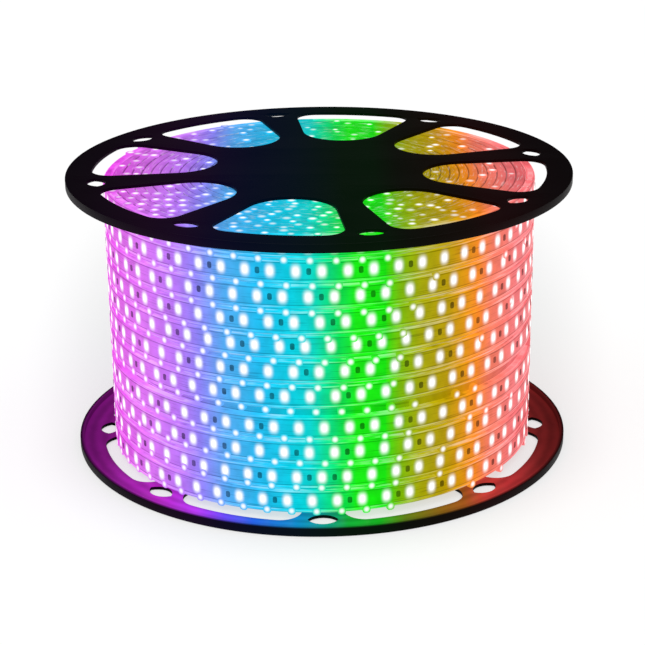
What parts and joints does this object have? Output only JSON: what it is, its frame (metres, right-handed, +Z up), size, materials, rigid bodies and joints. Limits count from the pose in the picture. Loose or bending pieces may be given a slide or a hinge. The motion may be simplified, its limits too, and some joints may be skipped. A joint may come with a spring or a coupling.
{
  "type": "led strip light reel",
  "caption": "Sleeved colour LED strip light wound in layers on a plastic reel with petal windows in both flanges, drawn off and cut to length for lighting edges.",
  "frame": {"origin": "middle of the face that the reel stands on, under its bottom flange", "axes": "+Z up along the reel's axis; the picture looks along +Y, with +X to its right"},
  "size_m": [0.35, 0.35, 0.1976],
  "materials": {
    "black_plastic": "moulded, satin black",
    "lit_sleeve": "clear extruded sleeve, lit from inside in a run of colours from pink through blue and green to red"
  },
  "bodies": {
    "root": {"bottom_flange": "black_plastic", "top_flange": "black_plastic", "drum": "black_plastic", "led_strip_coil": "lit_sleeve"}
  },
  "joints": []
}
